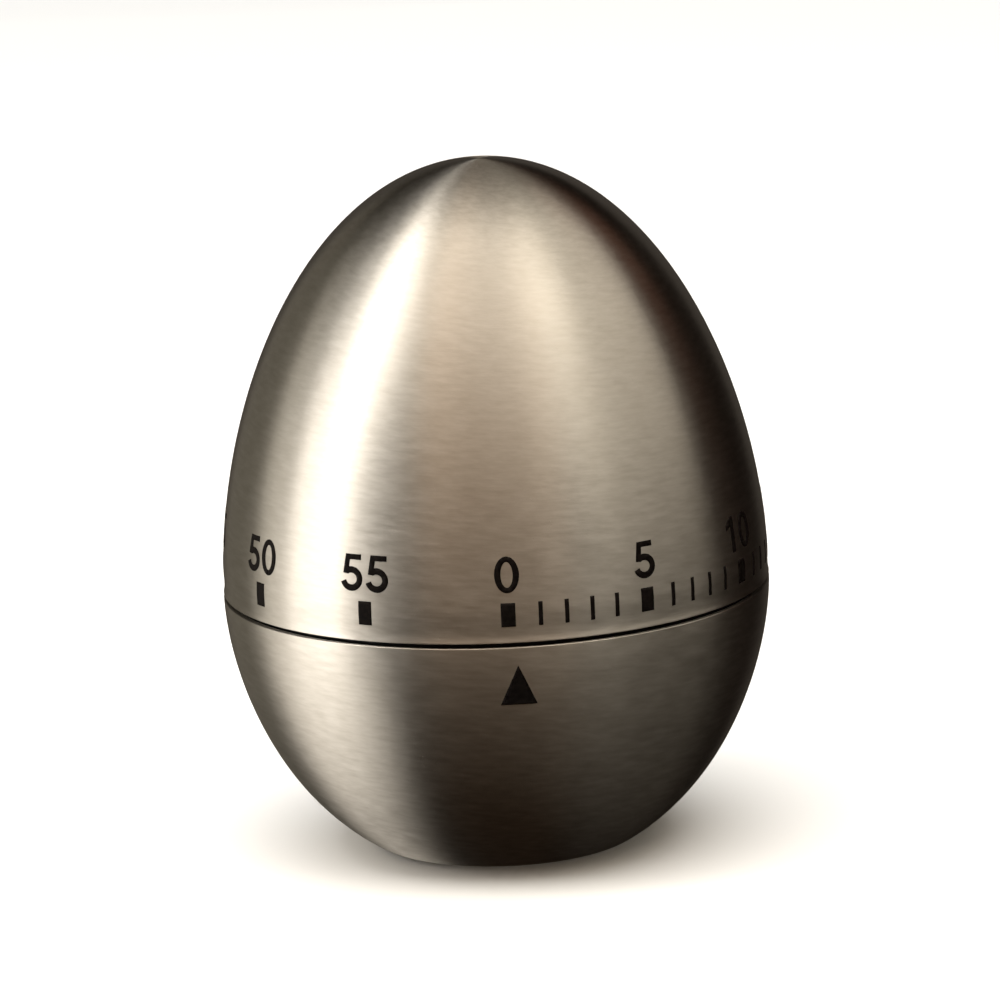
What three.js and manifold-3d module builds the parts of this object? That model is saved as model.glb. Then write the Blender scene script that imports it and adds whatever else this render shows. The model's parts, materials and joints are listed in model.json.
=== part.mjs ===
// An egg-shaped mechanical 60-minute kitchen timer, as an assembly of separate pieces.
// Millimetres, +Z up. The origin is the centre of the foot's underside, on the dial's axis.
// The pointer on the lower shell faces -Y. The dial turns about +Z, clockwise from above to wind.

import * as THREE from "three";
import { mergeVertices } from "three/addons/utils/BufferGeometryUtils.js";
import Module from "manifold-3d";

const wasm = await Module();
wasm.setup();

// ---- Driving dimensions -------------------------------------------------------------------

const RADIUS = 30; // widest radius, at the seam
const TOP_Z = 76; // crown of the upper shell
const SEAM_Z = 29; // height of the seam between the two shells
const SEAM_GAP = 0.5;
const SHELL_THICK = 0.8;
const SHELL_BASE_Z = 0.4; // flat bottom of the lower shell, just clear of the table

// Outline handles: how far each curve runs straight on from its end before it bends.
const UPPER_SIDE_HANDLE = 22.5;
const UPPER_CROWN_HANDLE = 18.2;
const LOWER_SIDE_HANDLE = 7.2;
const LOWER_BASE_HANDLE = 13.2;
const BASE_SLOPE = THREE.MathUtils.degToRad(31.8); // slope where the base fillet begins
const BASE_FLAT_RADIUS = 14;
const BASE_FILLET = 2;
const BASE_HOLE_RADIUS = 12;

const FIT = 0.3; // clearance between nested round pieces
const RUN = 0.1; // clearance of a shaft in its hole
const OVERCUT = 1; // how far a cutting piece runs past the face it cuts
const HOUSING_THICK = 1.6;
const HOUSING_FLOOR_Z = 2.4; // underside of the housing floor over the base cap
const HOUSING_FLOOR_TOP = 4;
const HOUSING_PLUG_RADIUS = BASE_HOLE_RADIUS + 0.4; // thin middle of the floor, over the base cap
const HOUSING_SHOULDER_Z = SEAM_Z - 2; // where the wall steps in to the collar
const SPIGOT_TOP_Z = 31.2; // the housing's collar reaches up inside the upper shell
const SPIGOT_RADIUS = 28.4;
const GLIDE_WIDTH = 1.4;

const FOOT_INNER = 8.3;
const FOOT_OUTER = 11.1;
const FOOT_TOP_Z = 1.25;
const FOOT_CHAMFER = 0.2;
const CAP_RADIUS = 11.7;
const CAP_Z = [0.6, 2.2];
const BASE_SCREW_ORBIT = 5.4;
const BASE_SCREW_ANGLES = [90, 210, 330];
const BASE_RECESS_RADIUS = 1.9; // counterbore for each base screw's head
const BASE_RECESS_DEPTH = 0.8;
const BASE_BOSS_RADIUS = 2;
const BASE_BOSS_TOP_Z = 5.6;

const BOTTOM_PLATE_Z = [13, 14];
const TOP_PLATE_Z = [28, 29];
const PLATE_RADIUS = 21.6;
const PILLAR_RADIUS = 1.5;
const PILLAR_ORBIT = 19.9;
const PILLAR_ANGLES = [75, 165, 274.5, 345];
const MOUNT_ORBIT = 19.4; // movement screws
const MOUNT_ANGLES = [0, 120, 240];
const MOUNT_BOSS_RADIUS = 2.4;
const PIVOT_RADIUS = 0.45;
const PIVOT_END = 0.1; // pivots stop this far inside the plates' outer faces
const SHOULDER_PLAY = 0.2; // end play between an arbor's shoulder and the plate
const ARBOR_RADIUS = 0.6;
const SCREW_SHANK = 0.85;
const TAPPED_RADIUS = 1; // tapped holes are left plain, clear of the screw
const TAPPED_DEPTH = 4;
const RIVET_RADIUS = 0.9; // foot of a pillar in the bottom plate
const RIVET_HOLE_RADIUS = 1;

const MAIN_ARBOR_RADIUS = 2;
const MAIN_PIVOT_RADIUS = 1;
const DIAL_SHAFT_RADIUS = 3;
const DIAL_SHAFT_Z = [27.5, 46];
const DIAL_SHAFT_FLAT = 2.2; // distance of the D flat from the axis
const BUSH_RADIUS = 4;
const HUB_RADIUS = 5.6;
const HUB_Z = [30.4, 46.3];
const WEB_RADIUS = 27.5;
const WEB_Z = [33.5, 35.3];
const CARRIER_RING_Z = [32, 40];
const CARRIER_RING_THICK = 1.8;
const RIB_COUNT = 4;
const RIB_THICK = 1.4;
const RIB_HEIGHT = 3;
const ARBOR_WASHER_RADIUS = 4.6;
const ARBOR_WASHER_THICK = 0.6;

const SPRING_Z = [14.8, 18.8];
const SPRING_INNER = 2.5;
const SPRING_OUTER = 9.4;
const SPRING_TURNS = 5;
const SPRING_STRIP = 0.3;
const SPRING_POST_ANGLE = 300;
const SPRING_POST_RADIUS = 0.8;

// Gear train: tooth counts, modules and the height of each wheel.
const WHEEL_TEETH = 45;
const LEAVES = 6;
const DRIVE_MODULE = 0.46;
const TRAIN_MODULE = 0.37;
const WHEEL_THICK = 0.8;
const WHEEL_HOLES = 4;
const WHEEL_HOLE_ORBIT = 0.57; // as shares of the pitch radius
const WHEEL_HOLE_RADIUS = 0.24;
const LEAF_OVERLAP = 0.4; // how far the leaves run past the wheel that drives them
const DRIVE_Z = [20, 21.2];
const SECOND_WHEEL_Z = 22.6;
const THIRD_WHEEL_Z = 24.4;
const ESCAPE_WHEEL_Z = 26.3;
const SECOND_ANGLE = 200; // plan angle of the second arbor
const THIRD_ORBIT = 12;
const ESCAPE_ORBIT = 14;
const PALLET_ORBIT = 15;
const ESCAPE_TEETH = 20;
const ESCAPE_RADIUS = 5;
const WHEEL_TOOTH = { addendum: 0.9, dedendum: 1.3, tip: 0.26, root: 0.5 };
const LEAF_TOOTH = { addendum: 0.7, dedendum: 1.35, tip: 0.25, root: 0.45 };

const PALLET_DISTANCE = 7; // from the escape wheel's axis
const PALLET_PIN_ORBIT = 6.15; // about the escape wheel's axis
const PALLET_PIN_SPREAD = 50; // degrees each side of the line to the pallet arbor
const PALLET_PIN_RADIUS = 0.35;
const PALLET_LEVER_Z = [25.3, 26];
const BALANCE_Z = [23, 24.4];
const BALANCE_LENGTH = 8;
const BALANCE_WIDTH = 2;
const PALLET_HUB_RADIUS = 1.3;
const PALLET_ARM_WIDTH = 1.2;

const CAM_Z = [26.2, 27.2];
const CAM_RADIUS = 5.9;
const CAM_NOTCH_RADIUS = 3.9;
const CAM_NOTCH = [50, 120]; // degrees, at rest
const CLUTCH_RADIUS = 5.6;
const CLUTCH_THICK = 0.4;
const CLUTCH_RISE = 0.5; // how much the clutch washer is dished

const BELL_RADIUS = 13.5;
const BELL_RIM_Z = 6.4;
const BELL_TOP_Z = 11;
const BELL_THICK = 0.9;
const BELL_CORNER = 3.4;
const BELL_POST_RADIUS = 2.2;

const HAMMER_ORBIT = 16.6;
const HAMMER_ANGLE = 30;
const HAMMER_HEAD_ORBIT = 15.9;
const HAMMER_HEAD_ANGLE = 65;
const HAMMER_HEAD_RADIUS = 1.2;
const HAMMER_HEAD_Z = [6.9, 9.7];
const HAMMER_STEM_RADIUS = 0.5; // riveted end of the head, through the arm
const HAMMER_ARM_Z = [9.8, 10.8];
const HAMMER_ARM_WIDTH = 1.6;
const HAMMER_TAIL_WIDTH = 1.4;
const HAMMER_ARBOR_RADIUS = 1;
const HAMMER_TAIL_REACH = 7; // closest the tail's centre line comes to the dial axis

// ---- Helpers --------------------------------------------------------------------------------

const rad = THREE.MathUtils.degToRad;

function polar(radius, degrees) {
  return new THREE.Vector2(radius * Math.cos(rad(degrees)), radius * Math.sin(rad(degrees)));
}

// Manifold solid from a closed three.js geometry.
function toSolid(geometry) {
  const bare = geometry.clone();
  bare.deleteAttribute("normal");
  bare.deleteAttribute("uv");
  const merged = mergeVertices(bare, 1e-4);
  return new wasm.Manifold(
    new wasm.Mesh({
      numProp: 3,
      vertProperties: merged.attributes.position.array,
      triVerts: new Uint32Array(merged.index.array),
    }),
  );
}

function toGeometry(solid) {
  const mesh = solid.getMesh();
  const geometry = new THREE.BufferGeometry();
  geometry.setAttribute("position", new THREE.BufferAttribute(new Float32Array(mesh.vertProperties), 3));
  geometry.setIndex(new THREE.BufferAttribute(new Uint32Array(mesh.triVerts), 1));
  geometry.computeVertexNormals();
  return geometry;
}

// Join the first geometries and cut away the others.
function combine(joined, cuts = []) {
  let solid = toSolid(joined[0]);
  for (const piece of joined.slice(1)) {
    solid = solid.add(toSolid(piece));
  }
  for (const piece of cuts) {
    solid = solid.subtract(toSolid(piece));
  }
  return toGeometry(solid);
}

// A solid of revolution about Z from [radius, height] points. An outline off the axis is closed.
function turned(points, segments = 32) {
  const profile = points.map(([r, z]) => new THREE.Vector2(r, z));
  if (points[0][0] > 0) {
    profile.push(profile[0].clone());
  }
  return new THREE.LatheGeometry(profile, segments).rotateX(Math.PI / 2);
}

function rod(radius, z0, z1, segments = 16) {
  return turned([[0, z0], [radius, z0], [radius, z1], [0, z1]], segments);
}

function rodAt(orbit, degrees, radius, z0, z1, segments = 12) {
  const centre = polar(orbit, degrees);
  return rod(radius, z0, z1, segments).translate(centre.x, centre.y, 0);
}

function washer(inner, outer, z0, z1, segments = 32) {
  return turned([[inner, z0], [outer, z0], [outer, z1], [inner, z1]], segments);
}

function slab(shape, z0, z1) {
  const options = { depth: z1 - z0, bevelEnabled: false, curveSegments: 6 };
  return new THREE.ExtrudeGeometry(shape, options).translate(0, 0, z0);
}

function circleShape(radius, segments, holes = []) {
  const shape = new THREE.Shape(ring(0, 0, radius, segments));
  for (const [x, y, r, n] of holes) {
    shape.holes.push(new THREE.Path(ring(x, y, r, n).reverse()));
  }
  return shape;
}

function ring(x, y, radius, segments) {
  const points = [];
  for (let i = 0; i < segments; i += 1) {
    const angle = (2 * Math.PI * i) / segments;
    points.push(new THREE.Vector2(x + radius * Math.cos(angle), y + radius * Math.sin(angle)));
  }
  return points;
}

// A straight bar with round ends between two points in plan.
function bar(from, to, width, z0, z1, endSteps = 6) {
  const along = Math.atan2(to.y - from.y, to.x - from.x);
  const points = [];
  for (const [end, start] of [[to, along - Math.PI / 2], [from, along + Math.PI / 2]]) {
    for (let i = 0; i <= endSteps; i += 1) {
      const angle = start + (Math.PI * i) / endSteps;
      const x = end.x + (width / 2) * Math.cos(angle);
      const y = end.y + (width / 2) * Math.sin(angle);
      points.push(new THREE.Vector2(x, y));
    }
  }
  return slab(new THREE.Shape(points), z0, z1);
}

// ---- Egg outline ----------------------------------------------------------------------------

const upperCurve = new THREE.CubicBezierCurve(
  new THREE.Vector2(RADIUS, SEAM_Z),
  new THREE.Vector2(RADIUS, SEAM_Z + UPPER_SIDE_HANDLE),
  new THREE.Vector2(UPPER_CROWN_HANDLE, TOP_Z),
  new THREE.Vector2(0, TOP_Z),
);

const filletStart = new THREE.Vector2(
  BASE_FLAT_RADIUS + BASE_FILLET * Math.sin(BASE_SLOPE),
  SHELL_BASE_Z + BASE_FILLET * (1 - Math.cos(BASE_SLOPE)),
);

const lowerCurve = new THREE.CubicBezierCurve(
  new THREE.Vector2(RADIUS, SEAM_Z),
  new THREE.Vector2(RADIUS, SEAM_Z - LOWER_SIDE_HANDLE),
  new THREE.Vector2(
    filletStart.x + LOWER_BASE_HANDLE * Math.cos(BASE_SLOPE),
    filletStart.y + LOWER_BASE_HANDLE * Math.sin(BASE_SLOPE),
  ),
  filletStart,
);

// Points along a curve, pushed inward by an offset, from its seam end to its far end.
function offsetCurve(curve, inset, count) {
  const inwardSide = Math.sign(curve.getPoint(1).y - curve.getPoint(0).y);
  const points = [];
  for (let i = 0; i <= count; i += 1) {
    const at = curve.getPoint(i / count);
    const along = curve.getTangent(i / count);
    const x = at.x - inwardSide * along.y * inset;
    const y = at.y + inwardSide * along.x * inset;
    points.push([Math.max(x, 0), y]);
  }
  return points;
}

// Radius of the egg's surface, pushed inward by an offset, at one height.
function radiusAt(z, inset) {
  const points = offsetCurve(z >= SEAM_Z ? upperCurve : lowerCurve, inset, 60);
  const above = points.findIndex((p, i) => i > 0 && (p[1] - z) * (points[0][1] - z) <= 0);
  const [r0, z0] = points[above - 1];
  const [r1, z1] = points[above];
  return r0 + ((r1 - r0) * (z - z0)) / (z1 - z0);
}

// The same curve between two heights, ordered from low to high.
function wallPoints(inset, z0, z1, count) {
  const points = [];
  for (let i = 0; i <= count; i += 1) {
    const z = z0 + ((z1 - z0) * i) / count;
    points.push([radiusAt(z, inset), z]);
  }
  return points;
}

// ---- Case -----------------------------------------------------------------------------------

const SHELL_SEGMENTS = 40;
const INNER_SEGMENTS = 32;
const UPPER_STEPS = 8;
const LOWER_STEPS = 6;

function upperShell() {
  const edge = SEAM_Z + SEAM_GAP / 2;
  const outer = offsetCurve(upperCurve, 0, UPPER_STEPS);
  const inner = offsetCurve(upperCurve, SHELL_THICK, UPPER_STEPS);
  outer[0][1] = edge;
  inner[0][1] = edge;
  return turned([...inner.reverse(), ...outer], SHELL_SEGMENTS);
}

function lowerShell() {
  const edge = SEAM_Z - SEAM_GAP / 2;
  const outer = offsetCurve(lowerCurve, 0, LOWER_STEPS);
  const inner = offsetCurve(lowerCurve, SHELL_THICK, LOWER_STEPS);
  outer[0][1] = edge;
  inner[0][1] = edge;
  const flatTop = SHELL_BASE_Z + SHELL_THICK;
  return turned(
    [
      [BASE_HOLE_RADIUS, SHELL_BASE_Z],
      [BASE_FLAT_RADIUS, SHELL_BASE_Z],
      ...outer.reverse(),
      ...inner,
      [BASE_FLAT_RADIUS, flatTop],
      [BASE_HOLE_RADIUS, flatTop],
    ],
    SHELL_SEGMENTS,
  );
}

function housing() {
  const outset = SHELL_THICK + FIT;
  const inset = outset + HOUSING_THICK;
  const floorEdgeZ = SHELL_BASE_Z + outset;
  const outerWall = wallPoints(outset, floorEdgeZ + 1, HOUSING_SHOULDER_Z, 3);
  const innerWall = wallPoints(inset, HOUSING_FLOOR_TOP, HOUSING_SHOULDER_Z, 3);
  const shellOfHousing = turned(
    [
      [0, HOUSING_FLOOR_Z],
      [HOUSING_PLUG_RADIUS, HOUSING_FLOOR_Z],
      [HOUSING_PLUG_RADIUS, floorEdgeZ],
      [BASE_FLAT_RADIUS, floorEdgeZ],
      ...outerWall,
      [SPIGOT_RADIUS, HOUSING_SHOULDER_Z + 1],
      [SPIGOT_RADIUS, SPIGOT_TOP_Z],
      [SPIGOT_RADIUS - HOUSING_THICK, SPIGOT_TOP_Z],
      ...innerWall.reverse(),
      [0, HOUSING_FLOOR_TOP],
    ],
    INNER_SEGMENTS,
  );
  const envelope = turned(
    [
      [0, HOUSING_FLOOR_Z],
      [BASE_FLAT_RADIUS, HOUSING_FLOOR_Z],
      ...outerWall,
      [0, HOUSING_SHOULDER_Z],
    ],
    INNER_SEGMENTS,
  );
  const postTop = BELL_TOP_Z - BELL_THICK;
  let solid = toSolid(shellOfHousing);
  solid = solid.add(toSolid(rod(BELL_POST_RADIUS, HOUSING_FLOOR_Z + 1, postTop)));
  for (const angle of MOUNT_ANGLES) {
    const top = BOTTOM_PLATE_Z[0];
    const boss = rodAt(MOUNT_ORBIT, angle, MOUNT_BOSS_RADIUS, HOUSING_FLOOR_TOP, top, 10);
    const hole = rodAt(MOUNT_ORBIT, angle, TAPPED_RADIUS, top - TAPPED_DEPTH, top + OVERCUT, 8);
    solid = solid.add(toSolid(boss).intersect(toSolid(envelope)));
    solid = solid.subtract(toSolid(hole));
  }
  for (const angle of BASE_SCREW_ANGLES) {
    const low = HOUSING_FLOOR_Z;
    const high = BASE_BOSS_TOP_Z;
    const boss = rodAt(BASE_SCREW_ORBIT, angle, BASE_BOSS_RADIUS, low + OVERCUT, high, 10);
    const hole = rodAt(BASE_SCREW_ORBIT, angle, TAPPED_RADIUS, low - OVERCUT, high - 0.4, 8);
    solid = solid.add(toSolid(boss));
    solid = solid.subtract(toSolid(hole));
  }
  solid = solid.subtract(toSolid(rod(TAPPED_RADIUS, postTop - 3, postTop + OVERCUT, 12)));
  return toGeometry(solid);
}

function baseCap() {
  const grooveTop = FOOT_TOP_Z + 0.05;
  const cap = turned([
    [0, CAP_Z[0]],
    [FOOT_INNER - RUN, CAP_Z[0]],
    [FOOT_INNER - RUN, grooveTop],
    [FOOT_OUTER + RUN, grooveTop],
    [FOOT_OUTER + RUN, CAP_Z[0]],
    [CAP_RADIUS, CAP_Z[0]],
    [CAP_RADIUS, CAP_Z[1]],
    [0, CAP_Z[1]],
  ], INNER_SEGMENTS);
  const cuts = [];
  const low = CAP_Z[0] - OVERCUT;
  const recessTop = CAP_Z[0] + BASE_RECESS_DEPTH;
  for (const angle of BASE_SCREW_ANGLES) {
    cuts.push(rodAt(BASE_SCREW_ORBIT, angle, SCREW_SHANK + RUN, low, CAP_Z[1] + OVERCUT));
    cuts.push(rodAt(BASE_SCREW_ORBIT, angle, BASE_RECESS_RADIUS, low, recessTop));
  }
  return combine([cap], cuts);
}

function footRing() {
  return turned([
    [FOOT_INNER, FOOT_CHAMFER],
    [FOOT_INNER + FOOT_CHAMFER, 0],
    [FOOT_OUTER - FOOT_CHAMFER, 0],
    [FOOT_OUTER, FOOT_CHAMFER],
    [FOOT_OUTER, FOOT_TOP_Z],
    [FOOT_INNER, FOOT_TOP_Z],
  ], INNER_SEGMENTS);
}

// Low-friction ring between the housing's collar and the dial carrier.
function glideRing() {
  const z0 = SPIGOT_TOP_Z + RUN;
  const z1 = CARRIER_RING_Z[0] - RUN;
  return washer(SPIGOT_RADIUS - GLIDE_WIDTH, SPIGOT_RADIUS, z0, z1, INNER_SEGMENTS);
}

// A slotted screw with its head's underside at z = 0 and its shank pointing down.
function screw(headRadius, headHeight, length) {
  const tipTaper = 0.25;
  const headChamfer = 0.2;
  const slotWidth = 0.4;
  const slotDepth = 0.4;
  const body = turned([
    [0, -length],
    [SCREW_SHANK - tipTaper, -length],
    [SCREW_SHANK, 2 * tipTaper - length],
    [SCREW_SHANK, 0],
    [headRadius, 0],
    [headRadius, headHeight - headChamfer],
    [headRadius - headChamfer, headHeight],
    [0, headHeight],
  ], 8);
  const slot = new THREE.BoxGeometry(2 * headRadius + OVERCUT, slotWidth, 2 * slotDepth);
  slot.translate(0, 0, headHeight);
  return combine([body], [slot]);
}

// ---- Bell and hammer --------------------------------------------------------------------------

function bell() {
  const cornerPoints = (inset, steps) => {
    const points = [];
    for (let i = 0; i <= steps; i += 1) {
      const angle = (Math.PI / 2) * (i / steps);
      const r = BELL_RADIUS - BELL_CORNER + (BELL_CORNER - inset) * Math.cos(angle);
      const z = BELL_TOP_Z - BELL_CORNER + (BELL_CORNER - inset) * Math.sin(angle);
      points.push([r, z]);
    }
    return points;
  };
  return turned([
    [BELL_RADIUS - BELL_THICK, BELL_RIM_Z],
    [BELL_RADIUS, BELL_RIM_Z],
    ...cornerPoints(0, 3),
    [SCREW_SHANK + RUN, BELL_TOP_Z],
    [SCREW_SHANK + RUN, BELL_TOP_Z - BELL_THICK],
    ...cornerPoints(BELL_THICK, 3).reverse(),
  ], 24);
}

const hammerAt = polar(HAMMER_ORBIT, HAMMER_ANGLE);
const hammerHeadAt = polar(HAMMER_HEAD_ORBIT, HAMMER_HEAD_ANGLE);
const tailTurn = THREE.MathUtils.radToDeg(Math.acos(HAMMER_TAIL_REACH / HAMMER_ORBIT));
const hammerTailAt = polar(HAMMER_TAIL_REACH, HAMMER_ANGLE + tailTurn);

// The bar, hub and bore of a lever that a pin at one place carries.
function lever(at, end, width, z0, z1, hubRadius, boreRadius) {
  const hub = rod(hubRadius, z0, z1, 16).translate(at.x, at.y, 0);
  const bore = rod(boreRadius, z0 - OVERCUT, z1 + OVERCUT, 16).translate(at.x, at.y, 0);
  return { solids: [bar(at, end, width, z0, z1), hub], cuts: [bore] };
}

function hammerArbor() {
  return turned([
    [0, HAMMER_ARM_Z[0] - 0.5],
    [HAMMER_ARBOR_RADIUS, HAMMER_ARM_Z[0] - 0.5],
    [HAMMER_ARBOR_RADIUS, TOP_PLATE_Z[0] - SHOULDER_PLAY],
    [PIVOT_RADIUS, TOP_PLATE_Z[0] - SHOULDER_PLAY],
    [PIVOT_RADIUS, TOP_PLATE_Z[1] - PIVOT_END],
    [0, TOP_PLATE_Z[1] - PIVOT_END],
  ], 16).translate(hammerAt.x, hammerAt.y, 0);
}

function hammerArm() {
  const [z0, z1] = HAMMER_ARM_Z;
  const bore = HAMMER_ARBOR_RADIUS + RUN / 2;
  const { solids, cuts } = lever(hammerAt, hammerHeadAt, HAMMER_ARM_WIDTH, z0, z1, 1.6, bore);
  const stemHole = rod(HAMMER_STEM_RADIUS + RUN / 2, z0 - OVERCUT, z1 + OVERCUT, 10);
  cuts.push(stemHole.translate(hammerHeadAt.x, hammerHeadAt.y, 0));
  return combine(solids, cuts);
}

function hammerHead() {
  return turned([
    [0, HAMMER_HEAD_Z[0]],
    [HAMMER_HEAD_RADIUS - 0.3, HAMMER_HEAD_Z[0]],
    [HAMMER_HEAD_RADIUS, HAMMER_HEAD_Z[0] + 0.3],
    [HAMMER_HEAD_RADIUS, HAMMER_HEAD_Z[1]],
    [HAMMER_STEM_RADIUS, HAMMER_HEAD_Z[1]],
    [HAMMER_STEM_RADIUS, HAMMER_ARM_Z[1] + 0.2],
    [0, HAMMER_ARM_Z[1] + 0.2],
  ], 16).translate(hammerHeadAt.x, hammerHeadAt.y, 0);
}

function hammerTail() {
  const [z0, z1] = CAM_Z;
  const bore = HAMMER_ARBOR_RADIUS + RUN / 2;
  const { solids, cuts } = lever(hammerAt, hammerTailAt, HAMMER_TAIL_WIDTH, z0, z1, 1.8, bore);
  return combine(solids, cuts);
}

// Return spring coiled round the hammer arbor, with two straight legs.
function hammerSpring() {
  const coilRadius = 1.8;
  const turns = 2;
  const turnSteps = 10;
  const pitch = 0.6;
  const legLength = 3;
  const wireRadius = 0.18;
  const z0 = BOTTOM_PLATE_Z[1] + 0.5;
  const points = [new THREE.Vector3(hammerAt.x + coilRadius, hammerAt.y - legLength, z0)];
  for (let i = 0; i <= turns * turnSteps; i += 1) {
    const angle = (2 * Math.PI * i) / turnSteps;
    const x = hammerAt.x + coilRadius * Math.cos(angle);
    const y = hammerAt.y + coilRadius * Math.sin(angle);
    points.push(new THREE.Vector3(x, y, z0 + (pitch * i) / turnSteps));
  }
  points.push(new THREE.Vector3(hammerAt.x + coilRadius, hammerAt.y + legLength, z0 + turns * pitch));
  const path = new THREE.CatmullRomCurve3(points);
  const wire = new THREE.Shape(ring(0, 0, wireRadius, 5));
  return new THREE.ExtrudeGeometry(wire, { steps: 28, extrudePath: path, bevelEnabled: false });
}

// ---- Movement frame -----------------------------------------------------------------------------

// Plan angle of the next arbor, given both orbits and the distance between the two arbors.
function nextAngle(fromOrbit, fromAngle, toOrbit, distance) {
  const cosine = (fromOrbit ** 2 + toOrbit ** 2 - distance ** 2) / (2 * fromOrbit * toOrbit);
  return fromAngle + THREE.MathUtils.radToDeg(Math.acos(cosine));
}

const DRIVE_CENTRES = ((WHEEL_TEETH + LEAVES) * DRIVE_MODULE) / 2;
const TRAIN_CENTRES = ((WHEEL_TEETH + LEAVES) * TRAIN_MODULE) / 2;
const thirdAngle = nextAngle(DRIVE_CENTRES, SECOND_ANGLE, THIRD_ORBIT, TRAIN_CENTRES);
const escapeAngle = nextAngle(THIRD_ORBIT, thirdAngle, ESCAPE_ORBIT, TRAIN_CENTRES);
const palletAngle = nextAngle(ESCAPE_ORBIT, escapeAngle, PALLET_ORBIT, PALLET_DISTANCE);

const mainAt = new THREE.Vector2(0, 0);
const secondAt = polar(DRIVE_CENTRES, SECOND_ANGLE);
const thirdAt = polar(THIRD_ORBIT, thirdAngle);
const escapeAt = polar(ESCAPE_ORBIT, escapeAngle);
const palletAt = polar(PALLET_ORBIT, palletAngle);
const springPostAt = polar(SPRING_OUTER + SPRING_POST_RADIUS + FIT, SPRING_POST_ANGLE);

function plate([z0, z1], holes) {
  return slab(circleShape(PLATE_RADIUS, 40, holes), z0, z1);
}

const pivotHoles = [secondAt, thirdAt, escapeAt, palletAt].map((at) => [at.x, at.y, PIVOT_RADIUS + RUN, 8]);

function bottomPlate() {
  const holes = [...pivotHoles, [0, 0, MAIN_PIVOT_RADIUS + RUN, 12]];
  holes.push([hammerAt.x, hammerAt.y, HAMMER_ARBOR_RADIUS + RUN, 10]);
  for (const angle of PILLAR_ANGLES) {
    const at = polar(PILLAR_ORBIT, angle);
    holes.push([at.x, at.y, RIVET_HOLE_RADIUS, 8]);
  }
  for (const angle of MOUNT_ANGLES) {
    const at = polar(MOUNT_ORBIT, angle);
    holes.push([at.x, at.y, SCREW_SHANK + 0.2, 8]);
  }
  holes.push([springPostAt.x, springPostAt.y, SPRING_POST_RADIUS - 0.2, 8]);
  return plate(BOTTOM_PLATE_Z, holes);
}

function topPlate() {
  const holes = [...pivotHoles, [0, 0, BUSH_RADIUS + RUN, 24]];
  holes.push([hammerAt.x, hammerAt.y, PIVOT_RADIUS + RUN, 10]);
  for (const angle of PILLAR_ANGLES) {
    const at = polar(PILLAR_ORBIT, angle);
    holes.push([at.x, at.y, SCREW_SHANK + RUN, 8]);
  }
  return plate(TOP_PLATE_Z, holes);
}

// Flanged bush that carries the dial shaft in the top plate.
function mainBush() {
  const flangeZ = TOP_PLATE_Z[1] + RUN;
  const flangeTop = flangeZ + 0.8;
  return turned([
    [DIAL_SHAFT_RADIUS + RUN, TOP_PLATE_Z[0]],
    [BUSH_RADIUS, TOP_PLATE_Z[0]],
    [BUSH_RADIUS, flangeZ],
    [BUSH_RADIUS + 1, flangeZ],
    [BUSH_RADIUS + 1, flangeTop],
    [DIAL_SHAFT_RADIUS + RUN, flangeTop],
  ], 24);
}

// A pillar riveted into the bottom plate, with a screw hole in its top.
function pillar() {
  const top = TOP_PLATE_Z[0];
  return turned([
    [0, BOTTOM_PLATE_Z[0]],
    [RIVET_RADIUS, BOTTOM_PLATE_Z[0]],
    [RIVET_RADIUS, BOTTOM_PLATE_Z[1]],
    [PILLAR_RADIUS, BOTTOM_PLATE_Z[1]],
    [PILLAR_RADIUS, top],
    [SCREW_SHANK + RUN, top],
    [SCREW_SHANK + RUN, top - TAPPED_DEPTH],
    [0, top - TAPPED_DEPTH],
  ], 10);
}

function springPost() {
  return turned([
    [0, BOTTOM_PLATE_Z[0]],
    [SPRING_POST_RADIUS - 0.3, BOTTOM_PLATE_Z[0]],
    [SPRING_POST_RADIUS - 0.3, BOTTOM_PLATE_Z[1]],
    [SPRING_POST_RADIUS, BOTTOM_PLATE_Z[1]],
    [SPRING_POST_RADIUS, SPRING_Z[1] + 0.3],
    [0, SPRING_Z[1] + 0.3],
  ], 12).translate(springPostAt.x, springPostAt.y, 0);
}

// Flat spiral strip from the main arbor out to the spring post.
function mainspring() {
  const steps = SPRING_TURNS * 14;
  const spiral = (side) => {
    const points = [];
    for (let i = 0; i <= steps; i += 1) {
      const angle = rad(SPRING_POST_ANGLE) + (2 * Math.PI * SPRING_TURNS * (i - steps)) / steps;
      const radius = SPRING_INNER + ((SPRING_OUTER - SPRING_INNER) * i) / steps + side;
      points.push(new THREE.Vector2(radius * Math.cos(angle), radius * Math.sin(angle)));
    }
    return points;
  };
  const outline = [...spiral(SPRING_STRIP / 2), ...spiral(-SPRING_STRIP / 2).reverse()];
  return slab(new THREE.Shape(outline), SPRING_Z[0], SPRING_Z[1]);
}

// ---- Gear train ---------------------------------------------------------------------------------

function gearOutline(teeth, module, tooth) {
  const pitchRadius = (teeth * module) / 2;
  const root = pitchRadius - tooth.dedendum * module;
  const tip = pitchRadius + tooth.addendum * module;
  const halfPitch = Math.PI / teeth;
  const corners = [[root, -tooth.root], [tip, -tooth.tip], [tip, tooth.tip], [root, tooth.root]];
  const points = [];
  for (let i = 0; i < teeth; i += 1) {
    for (const [radius, offset] of corners) {
      const angle = (2 * i + offset) * halfPitch;
      points.push(new THREE.Vector2(radius * Math.cos(angle), radius * Math.sin(angle)));
    }
  }
  return points;
}

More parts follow.
